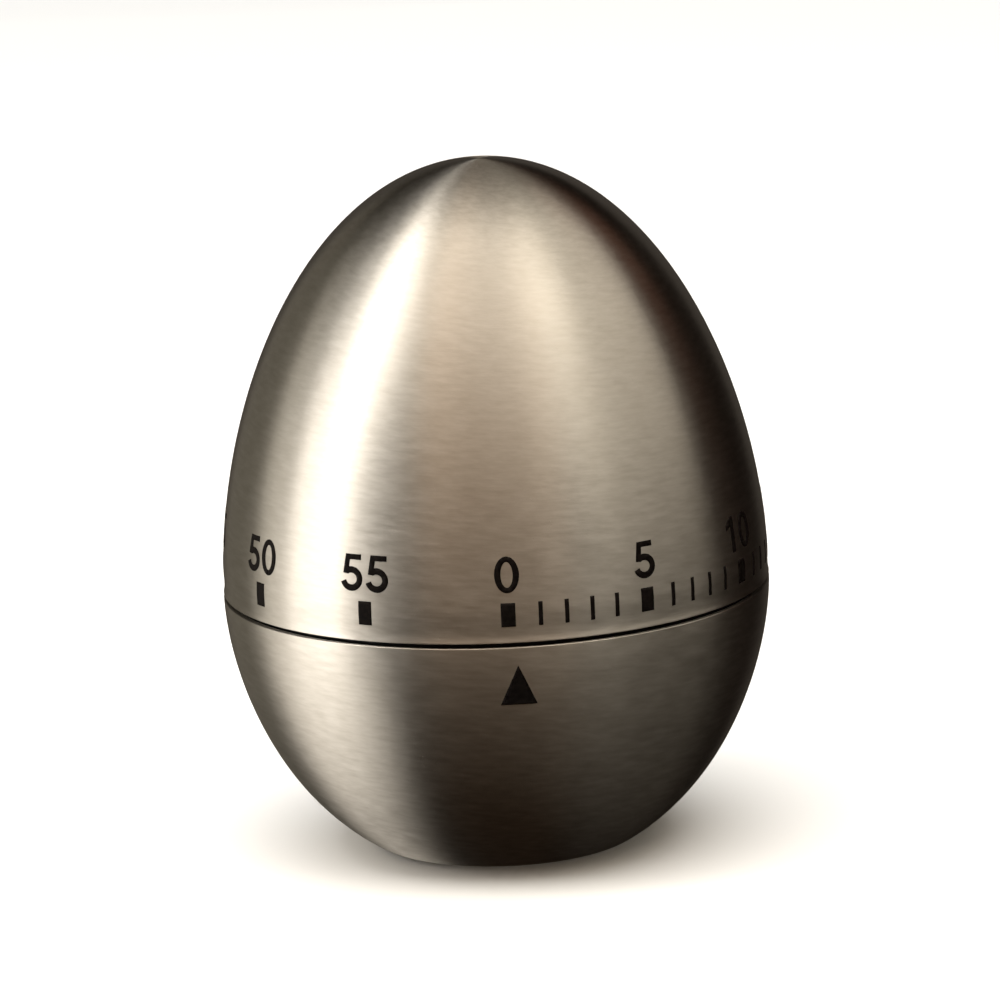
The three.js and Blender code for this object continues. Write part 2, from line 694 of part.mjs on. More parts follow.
// A toothed wheel with a bore and a ring of round lightening holes, centred on the origin.
function wheel(module, boreRadius, z0, z1) {
  const shape = new THREE.Shape(gearOutline(WHEEL_TEETH, module, WHEEL_TOOTH));
  const pitchRadius = (WHEEL_TEETH * module) / 2;
  shape.holes.push(new THREE.Path(ring(0, 0, boreRadius, 16).reverse()));
  for (let i = 0; i < WHEEL_HOLES; i += 1) {
    const at = polar(pitchRadius * WHEEL_HOLE_ORBIT, (360 * i) / WHEEL_HOLES);
    shape.holes.push(new THREE.Path(ring(at.x, at.y, pitchRadius * WHEEL_HOLE_RADIUS, 10).reverse()));
  }
  return slab(shape, z0, z1);
}

// An arbor with a pivot in each plate, centred on the origin.
function arbor() {
  return turned([
    [0, BOTTOM_PLATE_Z[0] + PIVOT_END],
    [PIVOT_RADIUS, BOTTOM_PLATE_Z[0] + PIVOT_END],
    [PIVOT_RADIUS, BOTTOM_PLATE_Z[1] + SHOULDER_PLAY],
    [ARBOR_RADIUS, BOTTOM_PLATE_Z[1] + SHOULDER_PLAY],
    [ARBOR_RADIUS, TOP_PLATE_Z[0] - SHOULDER_PLAY],
    [PIVOT_RADIUS, TOP_PLATE_Z[0] - SHOULDER_PLAY],
    [PIVOT_RADIUS, TOP_PLATE_Z[1] - PIVOT_END],
    [0, TOP_PLATE_Z[1] - PIVOT_END],
  ], 8);
}

// An arbor with leaves a little taller than the wheel, between two heights, that drives them.
function pinion(module, [z0, z1]) {
  const outline = new THREE.Shape(gearOutline(LEAVES, module, LEAF_TOOTH));
  return combine([arbor(), slab(outline, z0 - LEAF_OVERLAP, z1 + LEAF_OVERLAP)]);
}

function driveWheel() {
  return wheel(DRIVE_MODULE, MAIN_ARBOR_RADIUS + RUN / 2, DRIVE_Z[0], DRIVE_Z[1]);
}

function trainWheel(z) {
  return wheel(TRAIN_MODULE, ARBOR_RADIUS + RUN / 2, z, z + WHEEL_THICK);
}

function escapeWheel() {
  const step = (2 * Math.PI) / ESCAPE_TEETH;
  const root = ESCAPE_RADIUS - 1;
  // Raked teeth: a nearly radial leading face and a sloped back, in shares of one step.
  const corners = [[root, -0.1], [ESCAPE_RADIUS, 0], [ESCAPE_RADIUS, 0.12], [root, 0.6]];
  const points = [];
  for (let i = 0; i < ESCAPE_TEETH; i += 1) {
    for (const [radius, offset] of corners) {
      const angle = (i + offset) * step;
      points.push(new THREE.Vector2(radius * Math.cos(angle), radius * Math.sin(angle)));
    }
  }
  const shape = new THREE.Shape(points);
  shape.holes.push(new THREE.Path(ring(0, 0, ARBOR_RADIUS + RUN / 2, 12).reverse()));
  return slab(shape, ESCAPE_WHEEL_Z, ESCAPE_WHEEL_Z + WHEEL_THICK);
}

// Turn that a pinion needs so that its gap meets the wheel's tooth on the line of centres.
function meshTurn(lineDegrees, wheelTurn) {
  const wheelPhase = (lineDegrees - wheelTurn) / (360 / WHEEL_TEETH);
  return lineDegrees + 180 - (360 / LEAVES) * (0.5 - wheelPhase);
}

function lineAngle(from, to) {
  return THREE.MathUtils.radToDeg(Math.atan2(to.y - from.y, to.x - from.x));
}

const secondTurn = meshTurn(lineAngle(mainAt, secondAt), 0);
const thirdTurn = meshTurn(lineAngle(secondAt, thirdAt), secondTurn);
const escapeTurn = meshTurn(lineAngle(thirdAt, escapeAt), thirdTurn);

// ---- Pallet -------------------------------------------------------------------------------------

const toPallet = lineAngle(escapeAt, palletAt);

function palletPinAt(side) {
  return polar(PALLET_PIN_ORBIT, toPallet + side * PALLET_PIN_SPREAD).add(escapeAt);
}

function palletLever() {
  const [z0, z1] = PALLET_LEVER_Z;
  const hub = rod(PALLET_HUB_RADIUS, z0, z1, 16);
  const bore = rod(ARBOR_RADIUS + RUN / 2, z0 - OVERCUT, z1 + OVERCUT, 12);
  const joined = [hub.translate(palletAt.x, palletAt.y, 0)];
  const cuts = [bore.translate(palletAt.x, palletAt.y, 0)];
  for (const side of [-1, 1]) {
    const pin = palletPinAt(side);
    const pinHole = rod(PALLET_PIN_RADIUS + RUN / 2, z0 - OVERCUT, z1 + OVERCUT, 10);
    joined.push(bar(palletAt, pin, PALLET_ARM_WIDTH, z0, z1));
    cuts.push(pinHole.translate(pin.x, pin.y, 0));
  }
  return combine(joined, cuts);
}

function palletPin(side) {
  const pin = palletPinAt(side);
  return rod(PALLET_PIN_RADIUS, PALLET_LEVER_Z[0], ESCAPE_WHEEL_Z + 1, 10).translate(pin.x, pin.y, 0);
}

function balanceBar() {
  const [z0, z1] = BALANCE_Z;
  const half = polar((BALANCE_LENGTH - BALANCE_WIDTH) / 2, toPallet + 90);
  const beam = bar(palletAt.clone().add(half), palletAt.clone().sub(half), BALANCE_WIDTH, z0, z1);
  const bore = rod(ARBOR_RADIUS + RUN / 2, z0 - OVERCUT, z1 + OVERCUT, 12);
  return combine([beam], [bore.translate(palletAt.x, palletAt.y, 0)]);
}

// ---- Dial ---------------------------------------------------------------------------------------

// A block that cuts a shaft's flat at x, between two heights.
function flatCut(x, z0, z1) {
  return new THREE.BoxGeometry(10, 20, z1 - z0).translate(x + 5, 0, (z0 + z1) / 2);
}

function mainArbor() {
  const [shaftZ, shaftTop] = DIAL_SHAFT_Z;
  const holeDepth = 6;
  const shaft = turned([
    [0, BOTTOM_PLATE_Z[0] + PIVOT_END],
    [MAIN_PIVOT_RADIUS, BOTTOM_PLATE_Z[0] + PIVOT_END],
    [MAIN_PIVOT_RADIUS, BOTTOM_PLATE_Z[1] + SHOULDER_PLAY],
    [MAIN_ARBOR_RADIUS, BOTTOM_PLATE_Z[1] + SHOULDER_PLAY],
    [MAIN_ARBOR_RADIUS, shaftZ],
    [DIAL_SHAFT_RADIUS, shaftZ],
    [DIAL_SHAFT_RADIUS, shaftTop],
    [SCREW_SHANK + RUN, shaftTop],
    [SCREW_SHANK + RUN, shaftTop - holeDepth],
    [0, shaftTop - holeDepth],
  ], 24);
  return combine([shaft], [flatCut(DIAL_SHAFT_FLAT, HUB_Z[0] - 0.2, shaftTop + OVERCUT)]);
}

function dialCarrier() {
  const outset = SHELL_THICK + FIT;
  const hub = turned([[0, HUB_Z[0]], [HUB_RADIUS, HUB_Z[0]], [HUB_RADIUS, HUB_Z[1]], [0, HUB_Z[1]]], 24);
  const web = washer(HUB_RADIUS - 1, WEB_RADIUS, WEB_Z[0], WEB_Z[1], INNER_SEGMENTS);
  const rim = turned([
    ...wallPoints(outset, CARRIER_RING_Z[0], CARRIER_RING_Z[1], 3),
    ...wallPoints(outset + CARRIER_RING_THICK, CARRIER_RING_Z[0], CARRIER_RING_Z[1], 3).reverse(),
  ], INNER_SEGMENTS);
  // Radial ribs on the web, let a little into the web, the hub and the rim.
  const sunk = 0.3;
  const ribStart = HUB_RADIUS - 1;
  const ribLength = WEB_RADIUS - FIT - ribStart;
  const ribs = [];
  for (let i = 0; i < RIB_COUNT; i += 1) {
    const rib = new THREE.BoxGeometry(ribLength, RIB_THICK, RIB_HEIGHT + sunk);
    rib.translate(ribStart + ribLength / 2, 0, WEB_Z[1] + (RIB_HEIGHT - sunk) / 2);
    ribs.push(rib.rotateZ((2 * Math.PI * i) / RIB_COUNT));
  }
  const round = rod(DIAL_SHAFT_RADIUS + RUN, HUB_Z[0] - OVERCUT, HUB_Z[1] + OVERCUT, 24);
  const flat = flatCut(DIAL_SHAFT_FLAT + RUN, HUB_Z[0] - 2 * OVERCUT, HUB_Z[1] + 2 * OVERCUT);
  const dBore = combine([round], [flat]);
  return combine([hub, web, rim, ...ribs], [dBore]);
}

function arborWasher() {
  return washer(SCREW_SHANK + RUN, ARBOR_WASHER_RADIUS, HUB_Z[1], HUB_Z[1] + ARBOR_WASHER_THICK, 20);
}

function alarmCam() {
  const [notchStart, notchEnd] = CAM_NOTCH;
  const points = [];
  for (let i = 0; i <= 20; i += 1) {
    points.push(polar(CAM_RADIUS, notchEnd + ((360 + notchStart - notchEnd) * i) / 20));
  }
  for (let i = 0; i <= 5; i += 1) {
    points.push(polar(CAM_NOTCH_RADIUS, notchStart + ((notchEnd - notchStart) * i) / 5));
  }
  const shape = new THREE.Shape(points);
  shape.holes.push(new THREE.Path(ring(0, 0, MAIN_ARBOR_RADIUS + RUN / 2, 16).reverse()));
  return slab(shape, CAM_Z[0], CAM_Z[1]);
}

// Dished spring washer that presses on the drive wheel, so that it slips while winding.
function clutchWasher() {
  const z = DRIVE_Z[1] + RUN;
  const bore = MAIN_ARBOR_RADIUS + RUN / 2;
  return turned([
    [bore, z + CLUTCH_RISE],
    [CLUTCH_RADIUS - 0.2, z],
    [CLUTCH_RADIUS, z],
    [CLUTCH_RADIUS, z + CLUTCH_THICK],
    [bore, z + CLUTCH_RISE + CLUTCH_THICK],
  ], 24);
}

// ---- Assembly -----------------------------------------------------------------------------------

function finish(color, roughness, metalness) {
  return new THREE.MeshStandardMaterial({ color, roughness, metalness });
}

const STEEL = [0xb9b0a2, 0.32, 1];
const PLATED = [0xc9c6bd, 0.25, 1];
const BRASS = [0xc9a24e, 0.3, 1];
const BLACK_PLASTIC = [0x1c1b1a, 0.55, 0];
const WHITE_PLASTIC = [0xe6e2d8, 0.5, 0];
const RUBBER = [0x151515, 0.85, 0];

const timer = new THREE.Group();
timer.name = "kitchen_timer";

function place(parent, name, geometry, look) {
  const mesh = new THREE.Mesh(geometry, finish(...look));
  mesh.name = name;
  parent.add(mesh);
  return mesh;
}

// A group for what turns about one vertical arbor.
function arborGroup(at, turnDegrees) {
  const group = new THREE.Group();
  group.position.set(at.x, at.y, 0);
  group.rotation.z = rad(turnDegrees);
  timer.add(group);
  return group;
}

place(timer, "lower_shell", lowerShell(), STEEL);
place(timer, "housing", housing(), BLACK_PLASTIC);
place(timer, "base_cap", baseCap(), BLACK_PLASTIC);
place(timer, "foot_ring", footRing(), RUBBER);
place(timer, "glide_ring", glideRing(), WHITE_PLASTIC);
BASE_SCREW_ANGLES.forEach((angle, i) => {
  const at = polar(BASE_SCREW_ORBIT, angle);
  const mesh = place(timer, `base_screw_${i + 1}`, screw(1.7, 0.7, 3.6), PLATED);
  mesh.rotation.x = Math.PI;
  mesh.position.set(at.x, at.y, CAP_Z[0] + BASE_RECESS_DEPTH);
});

place(timer, "bell", bell(), PLATED);
place(timer, "bell_screw", screw(2.1, 1, 3.6), PLATED).position.set(0, 0, BELL_TOP_Z + RUN);

place(timer, "bottom_plate", bottomPlate(), BRASS);
place(timer, "top_plate", topPlate(), BRASS);
place(timer, "main_bush", mainBush(), BRASS);
PILLAR_ANGLES.forEach((angle, i) => {
  const at = polar(PILLAR_ORBIT, angle);
  place(timer, `pillar_${i + 1}`, pillar(), PLATED).position.set(at.x, at.y, 0);
  const pillarScrew = place(timer, `pillar_screw_${i + 1}`, screw(1.6, 0.9, 3.6), PLATED);
  pillarScrew.position.set(at.x, at.y, TOP_PLATE_Z[1]);
});
MOUNT_ANGLES.forEach((angle, i) => {
  const at = polar(MOUNT_ORBIT, angle);
  const mountScrew = place(timer, `movement_screw_${i + 1}`, screw(1.6, 0.9, 4), PLATED);
  mountScrew.position.set(at.x, at.y, BOTTOM_PLATE_Z[1]);
});
place(timer, "spring_post", springPost(), PLATED);
place(timer, "mainspring", mainspring(), PLATED);
place(timer, "hammer_spring", hammerSpring(), PLATED);

place(timer, "upper_shell", upperShell(), STEEL);
place(timer, "dial_carrier", dialCarrier(), BLACK_PLASTIC);
place(timer, "main_arbor", mainArbor(), PLATED);
place(timer, "arbor_washer", arborWasher(), PLATED);
place(timer, "arbor_screw", screw(3, 1.4, 5.4), PLATED).position.set(0, 0, HUB_Z[1] + ARBOR_WASHER_THICK + RUN);
place(timer, "alarm_cam", alarmCam(), WHITE_PLASTIC);
place(timer, "clutch_washer", clutchWasher(), PLATED);
place(timer, "drive_wheel", driveWheel(), BRASS);

const second = arborGroup(secondAt, secondTurn);
place(second, "second_pinion", pinion(DRIVE_MODULE, DRIVE_Z), PLATED);
place(second, "second_wheel", trainWheel(SECOND_WHEEL_Z), BRASS);

const third = arborGroup(thirdAt, thirdTurn);
place(third, "third_pinion", pinion(TRAIN_MODULE, [SECOND_WHEEL_Z, SECOND_WHEEL_Z + WHEEL_THICK]), PLATED);
place(third, "third_wheel", trainWheel(THIRD_WHEEL_Z), BRASS);

const escape = arborGroup(escapeAt, escapeTurn);
place(escape, "escape_pinion", pinion(TRAIN_MODULE, [THIRD_WHEEL_Z, THIRD_WHEEL_Z + WHEEL_THICK]), PLATED);
place(escape, "escape_wheel", escapeWheel(), BRASS);

place(arborGroup(palletAt, 0), "pallet_arbor", arbor(), PLATED);
place(timer, "pallet_lever", palletLever(), PLATED);
place(timer, "pallet_pin_1", palletPin(-1), PLATED);
place(timer, "pallet_pin_2", palletPin(1), PLATED);
place(timer, "balance_bar", balanceBar(), BRASS);

place(timer, "hammer_arbor", hammerArbor(), PLATED);
place(timer, "hammer_arm", hammerArm(), PLATED);
place(timer, "hammer_head", hammerHead(), BRASS);
place(timer, "hammer_tail", hammerTail(), PLATED);

export default timer;
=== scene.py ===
"""The looks of the egg-shaped kitchen timer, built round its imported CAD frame."""

import json
import math

import bmesh
import bpy
from mathutils import Matrix, Vector
from mathutils.geometry import delaunay_2d_cdt

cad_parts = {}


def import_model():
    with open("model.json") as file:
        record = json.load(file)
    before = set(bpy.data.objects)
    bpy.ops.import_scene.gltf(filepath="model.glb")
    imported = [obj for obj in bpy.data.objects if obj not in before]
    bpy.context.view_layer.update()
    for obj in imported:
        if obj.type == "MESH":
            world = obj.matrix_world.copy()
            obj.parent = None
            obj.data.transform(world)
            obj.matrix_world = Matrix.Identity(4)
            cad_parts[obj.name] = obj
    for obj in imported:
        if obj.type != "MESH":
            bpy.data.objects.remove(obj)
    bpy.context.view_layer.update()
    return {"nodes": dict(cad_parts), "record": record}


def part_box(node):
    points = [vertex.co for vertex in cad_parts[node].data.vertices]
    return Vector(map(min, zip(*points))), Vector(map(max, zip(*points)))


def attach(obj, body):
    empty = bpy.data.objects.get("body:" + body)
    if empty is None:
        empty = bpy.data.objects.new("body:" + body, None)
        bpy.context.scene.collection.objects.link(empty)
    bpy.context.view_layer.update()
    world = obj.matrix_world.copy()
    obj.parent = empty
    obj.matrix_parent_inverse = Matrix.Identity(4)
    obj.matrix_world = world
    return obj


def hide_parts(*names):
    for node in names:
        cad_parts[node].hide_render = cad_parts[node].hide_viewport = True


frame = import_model()
nodes = frame["nodes"]

MM = 0.001

# ---- Sizes taken from the frame ---------------------------------------------------------------

upper_low, upper_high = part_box("upper_shell")
lower_low, lower_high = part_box("lower_shell")
RADIUS = upper_high.x
TOP_Z = upper_high.z
UPPER_EDGE_Z = upper_low.z
LOWER_EDGE_Z = lower_high.z
SEAM_Z = (UPPER_EDGE_Z + LOWER_EDGE_Z) / 2
BASE_Z = lower_low.z

# ---- Egg outline, as in the CAD shells ----------------------------------------------------------

UPPER_SIDE_HANDLE = 22.5 * MM
UPPER_CROWN_HANDLE = 18.2 * MM
LOWER_SIDE_HANDLE = 7.2 * MM
LOWER_BASE_HANDLE = 13.2 * MM
BASE_SLOPE = math.radians(31.8)
BASE_FLAT_RADIUS = 14 * MM
BASE_FILLET = 2 * MM
BASE_HOLE_RADIUS = 12 * MM
SHELL_THICK = 0.8 * MM
FOOT_WIDTH = 2.8 * MM

FILLET_START = (
    BASE_FLAT_RADIUS + BASE_FILLET * math.sin(BASE_SLOPE),
    BASE_Z + BASE_FILLET * (1 - math.cos(BASE_SLOPE)),
)
UPPER_CURVE = (
    (RADIUS, SEAM_Z),
    (RADIUS, SEAM_Z + UPPER_SIDE_HANDLE),
    (UPPER_CROWN_HANDLE, TOP_Z),
    (0.0, TOP_Z),
)
LOWER_CURVE = (
    (RADIUS, SEAM_Z),
    (RADIUS, SEAM_Z - LOWER_SIDE_HANDLE),
    (
        FILLET_START[0] + LOWER_BASE_HANDLE * math.cos(BASE_SLOPE),
        FILLET_START[1] + LOWER_BASE_HANDLE * math.sin(BASE_SLOPE),
    ),
    FILLET_START,
)


def bezier(curve, t):
    """Point and outward normal of a cubic curve in the (radius, height) plane."""
    s = 1 - t
    point = []
    slope = []
    for a, b, c, d in zip(*curve):
        point.append(s**3 * a + 3 * s * s * t * b + 3 * s * t * t * c + t**3 * d)
        slope.append(s * s * (b - a) + 2 * s * t * (c - b) + t * t * (d - c))
    length = math.hypot(*slope)
    side = 1 if curve is UPPER_CURVE else -1
    return point, (side * slope[1] / length, -side * slope[0] / length)


BISECTIONS = 40


def surface(z):
    """Radius and outward normal of the egg's surface at one height."""
    curve = UPPER_CURVE if z >= SEAM_Z else LOWER_CURVE
    low = 0.0
    high = 1.0
    for _ in range(BISECTIONS):
        middle = (low + high) / 2
        if abs(bezier(curve, middle)[0][1] - SEAM_Z) < abs(z - SEAM_Z):
            low = middle
        else:
            high = middle
    (radius, _), normal = bezier(curve, low)
    return radius, normal


# ---- Mesh helpers -------------------------------------------------------------------------------


def new_object(name, mesh, material):
    piece = bpy.data.objects.new(name, mesh)
    bpy.context.scene.collection.objects.link(piece)
    mesh.materials.append(material)
    return piece


def turned(name, profile, segments, material):
    """A closed solid of revolution from (radius, height) points that run with the metal on their left.

    Its UV map holds the turn about the axis and the length along the profile, in metres.
    """
    mesh = bpy.data.meshes.new(name)
    bm = bmesh.new()
    uv = bm.loops.layers.uv.new("along")
    on_axis = profile[0][0] == 0
    rows = []
    for radius, z in profile:
        if radius == 0:
            rows.append([bm.verts.new((0, 0, z))] * segments)
            continue
        turn = [2 * math.pi * i / segments for i in range(segments)]
        rows.append([bm.verts.new((radius * math.cos(a), radius * math.sin(a), z)) for a in turn])
    lengths = [0.0]
    for (r0, z0), (r1, z1) in zip(profile, profile[1:]):
        lengths.append(lengths[-1] + math.hypot(r1 - r0, z1 - z0))
    steps = len(rows) - 1 if on_axis else len(rows)
    for k in range(steps):
        following = (k + 1) % len(rows)
        low = rows[k]
        high = rows[following]
        end = lengths[following] if following else lengths[-1] + math.dist(profile[-1], profile[0])
        for i in range(segments):
            j = (i + 1) % segments
            corners = (
                (low[i], i, lengths[k]),
                (low[j], i + 1, lengths[k]),
                (high[j], i + 1, end),
                (high[i], i, end),
            )
            unique = []
            for corner in corners:
                if corner[0] not in [kept[0] for kept in unique]:
                    unique.append(corner)
            face = bm.faces.new([corner[0] for corner in unique])
            face.smooth = True
            for loop, (_, turn_index, along) in zip(face.loops, unique):
                loop[uv].uv = (turn_index / segments, along)
    bm.to_mesh(mesh)
    bm.free()
    return new_object(name, mesh, material)


def arc(centre, radii, start, end, steps):
    """Points along an elliptical arc, angles in degrees."""
    points = []
    for i in range(steps + 1):
        angle = math.radians(start + (end - start) * i / steps)
        points.append((centre[0] + radii[0] * math.cos(angle), centre[1] + radii[1] * math.sin(angle)))
    return points


def ring(radius, count):
    """Points all round a circle about the origin."""
    return arc((0, 0), (radius, radius), 0, 360 - 360 / count, count - 1)


# ---- Materials ----------------------------------------------------------------------------------


class Nodes:
    """Short calls for building one material's node tree."""

    def __init__(self, name):
        self.material = bpy.data.materials.new(name)
        self.material.use_nodes = True
        self.tree = self.material.node_tree
        self.shader = self.tree.nodes["Principled BSDF"]

    def add(self, kind, **inputs):
        node = self.tree.nodes.new(kind)
        for key, value in inputs.items():
            self.set(node, key, value)
        return node

    def set(self, node, key, value):
        names = {s.name.replace(" ", "_").lower(): s for s in node.inputs}
        if key in names:
            if isinstance(value, bpy.types.NodeSocket):
                self.tree.links.new(value, names[key])
            else:
                names[key].default_value = value
        else:
            setattr(node, key, value)

    def math(self, operation, a, b=0.0):
        node = self.tree.nodes.new("ShaderNodeMath")
        node.operation = operation
        for socket, value in zip(node.inputs, (a, b)):
            if isinstance(value, bpy.types.NodeSocket):
                self.tree.links.new(value, socket)
            else:
                socket.default_value = value
        return node.outputs[0]

    def noise(self, vector, scale, detail=3.0, roughness=0.55):
        settings = {"scale": scale, "detail": detail, "roughness": roughness}
        return self.add("ShaderNodeTexNoise", vector=vector, **settings).outputs["Fac"]

    def ramp(self, value, low, high, out_low=0.0, out_high=1.0):
        node = self.tree.nodes.new("ShaderNodeMapRange")
        self.tree.links.new(value, node.inputs["Value"])
        node.inputs["From Min"].default_value = low
        node.inputs["From Max"].default_value = high
        node.inputs["To Min"].default_value = out_low
        node.inputs["To Max"].default_value = out_high
        return node.outputs["Result"]

    def mix_colour(self, factor, a, b):
        node = self.tree.nodes.new("ShaderNodeMix")
        node.data_type = "RGBA"
        self.tree.links.new(factor, node.inputs["Factor"])
        node.inputs["A"].default_value = (*a, 1)
        node.inputs["B"].default_value = (*b, 1)
        return node.outputs["Result"]

    def bump(self, height, distance, normal=None):
        node = self.add("ShaderNodeBump", height=height, distance=distance, strength=1.0)
        if normal is not None:
            self.tree.links.new(normal, node.inputs["Normal"])
        return node.outputs["Normal"]

    def finish(self, **inputs):
        for key, value in inputs.items():
            self.set(self.shader, key, value)
        return self.material

    def object_coords(self):
        return self.add("ShaderNodeTexCoord").outputs["Object"]


def around_axis(n, turn_scale, along_scale, slant=0.0):
    """Coordinates that change slowly round the axis and fast along the outline."""
    split = n.add("ShaderNodeSeparateXYZ", vector=n.object_coords())
    flat = n.add("ShaderNodeCombineXYZ", x=split.outputs["X"], y=split.outputs["Y"])
    heading = n.tree.nodes.new("ShaderNodeVectorMath")
    heading.operation = "NORMALIZE"
    n.tree.links.new(flat.outputs[0], heading.inputs[0])
    turn = n.add("ShaderNodeSeparateXYZ", vector=heading.outputs[0])
    uv = n.add("ShaderNodeUVMap", uv_map="along")
    along = n.add("ShaderNodeSeparateXYZ", vector=uv.outputs[0])
    tilt = n.math("MULTIPLY", turn.outputs["X"], slant)
    height = n.math("ADD", n.math("MULTIPLY", along.outputs["Y"], along_scale), tilt)
    return n.add(
        "ShaderNodeCombineXYZ",
        x=n.math("MULTIPLY", turn.outputs["X"], turn_scale),
        y=n.math("MULTIPLY", turn.outputs["Y"], turn_scale),
        z=height,
    ).outputs[0]


CROWN_DEPTH = 9 * MM  # the brushing gets finer over this depth below the crown
CROWN_ROUGHNESS = 0.8  # the share of the roughness that is left at the top


def brushed_shell():
    """Stainless steel brushed round the egg's axis, with fine scratches and faint handling marks."""
    n = Nodes("brushed_stainless")
    fine = n.noise(around_axis(n, 6.0, 8000.0), 1.0)
    coarse = n.noise(around_axis(n, 10.0, 1800.0, slant=4.0), 1.0, detail=4.0, roughness=0.6)
    marks = n.noise(around_axis(n, 60.0, 2600.0, slant=90.0), 1.0, detail=5.0, roughness=0.7)
    pits = n.noise(n.object_coords(), 650.0)
    patches = n.noise(n.object_coords(), 60.0)
    grain = n.bump(fine, 0.006 * MM)
    strokes = n.bump(coarse, 0.0055 * MM, normal=grain)
    dents = n.bump(pits, 0.012 * MM, normal=strokes)
    scuffs = n.bump(n.ramp(marks, 0.66, 0.74), 0.006 * MM, normal=dents)
    colour = n.mix_colour(n.ramp(coarse, 0.3, 0.7), (0.53, 0.49, 0.435), (0.64, 0.60, 0.545))
    unevenness = n.math("ADD", n.math("MULTIPLY", patches, 0.5), n.math("MULTIPLY", coarse, 0.5))
    height = n.add("ShaderNodeSeparateXYZ", vector=n.object_coords()).outputs["Z"]
    smoother_crown = n.ramp(height, TOP_Z - CROWN_DEPTH, TOP_Z, 1.0, CROWN_ROUGHNESS)
    roughness = n.math("MULTIPLY", n.ramp(unevenness, 0.3, 0.7, 0.36, 0.44), smoother_crown)
    tangent = n.add("ShaderNodeTangent", direction_type="RADIAL", axis="Z").outputs[0]
    return n.finish(
        base_color=colour,
        metallic=1.0,
        roughness=roughness,
        anisotropic=0.9,
        anisotropic_rotation=0.25,  # a quarter turn, so highlights stretch across the brushing
        tangent=tangent,
        normal=scuffs,
    )


def metal(name, dark, light, roughness, grain_scale):
    """Bare or plated metal with a faint grain and slow changes of tone."""
    n = Nodes(name)
    grain = n.noise(n.object_coords(), grain_scale, detail=2.0)
    patches = n.noise(n.object_coords(), grain_scale * 0.12, detail=2.0)
    return n.finish(
        base_color=n.mix_colour(n.ramp(patches, 0.2, 0.8), dark, light),
        metallic=1.0,
        roughness=n.ramp(grain, 0.2, 0.8, roughness * 0.85, roughness * 1.2),
        normal=n.bump(grain, 0.0008 * MM),
    )


def plastic(name, dark, light, roughness):
    """Moulded plastic or rubber with a fine surface texture."""
    n = Nodes(name)
    texture = n.noise(n.object_coords(), 5500.0)
    patches = n.noise(n.object_coords(), 120.0)
    return n.finish(
        base_color=n.mix_colour(n.ramp(patches, 0.35, 0.65), dark, light),
        metallic=0.0,
        roughness=n.ramp(patches, 0.3, 0.7, roughness * 0.88, roughness * 1.12),
        normal=n.bump(texture, 0.01 * MM),
    )


def printed_ink():
    """Screen-printed black ink, a little worn and mottled."""
    n = Nodes("printed_ink")
    mottle = n.noise(n.object_coords(), 2500.0, detail=4.0)
    return n.finish(
        base_color=n.mix_colour(n.ramp(mottle, 0.35, 0.7), (0.002, 0.0012, 0.001), (0.006, 0.004, 0.003)),
        metallic=0.0,
        specular_ior_level=0.06,
        roughness=n.ramp(mottle, 0.3, 0.7, 0.42, 0.6),
        normal=n.bump(mottle, 0.004 * MM),
    )


STEEL = brushed_shell()
INK = printed_ink()
SLOT_MATERIALS = {
    "black_plastic": plastic("black_plastic", (0.012, 0.012, 0.012), (0.022, 0.021, 0.02), 0.5),
    "nylon": plastic("white_nylon", (0.72, 0.70, 0.65), (0.80, 0.78, 0.73), 0.42),
    "foot_rubber": plastic("foot_rubber", (0.016, 0.016, 0.016), (0.03, 0.03, 0.029), 0.78),
    "brass": metal("stamped_brass", (0.62, 0.43, 0.17), (0.78, 0.58, 0.27), 0.28, 900.0),
    "plated_steel": metal("plated_steel", (0.60, 0.59, 0.57), (0.72, 0.71, 0.69), 0.24, 1200.0),
    "bell_steel": metal("bell_steel", (0.63, 0.62, 0.60), (0.74, 0.73, 0.71), 0.18, 700.0),
    "spring_steel": metal("spring_steel", (0.12, 0.14, 0.20), (0.24, 0.25, 0.29), 0.3, 1000.0),
    "brushed_shell": STEEL,
}


def dress_cad_nodes():
    """Every carried-over CAD node takes the node material of its record slot."""
    for part in frame["record"]["subparts"]:
        material = SLOT_MATERIALS[part["material_slot"]]
        mesh = nodes[part["node"]].data
        mesh.materials.clear()
        mesh.materials.append(material)


# ---- Shells -------------------------------------------------------------------------------------

SHELL_SEGMENTS = 192
UPPER_STEPS = 96
LOWER_STEPS = 64
FLARE_HEIGHT = 0.85 * MM  # the upper shell's edge turns out again over this height
FLARE_DEPTH = 0.11 * MM
NECK_HEIGHT = 3.5 * MM  # and has drawn in from here
NECK_STEPS = 24
UPPER_EDGE_ROUND = 0.05 * MM
LOWER_EDGE_ROUND = 0.08 * MM
ROLLED_EDGE = 0.25 * MM  # at the hole in the lower shell's base
COLLAR_OUTSIDE_GLIDE = 0.15 * MM
COLLAR_THICK = 0.12 * MM
COLLAR_LAP = 1.2 * MM  # how far the collar runs behind each shell


def wall(curve, inset, steps, stop_z):
    """Points of one skin of a shell, from its far end to the height where its edge begins."""
    points = []
    for i in range(steps + 1):
        (radius, z), normal = bezier(curve, 1 - i / steps)
        place = (max(radius - inset * normal[0], 0.0), z - inset * normal[1])
        if abs(place[1] - SEAM_Z) > abs(stop_z - SEAM_Z):
            points.append(place)
    radius, normal = surface(stop_z)
    points.append((radius - inset, stop_z))
    return points


def flare(z):
    """How far the upper shell is drawn in just above its edge, at one height."""
    height = z - UPPER_EDGE_Z
    if height < FLARE_HEIGHT:
        return FLARE_DEPTH * (1 - (1 - height / FLARE_HEIGHT) ** 2)
    share = min((height - FLARE_HEIGHT) / (NECK_HEIGHT - FLARE_HEIGHT), 1)
    return FLARE_DEPTH * (1 - share * share * (3 - 2 * share))


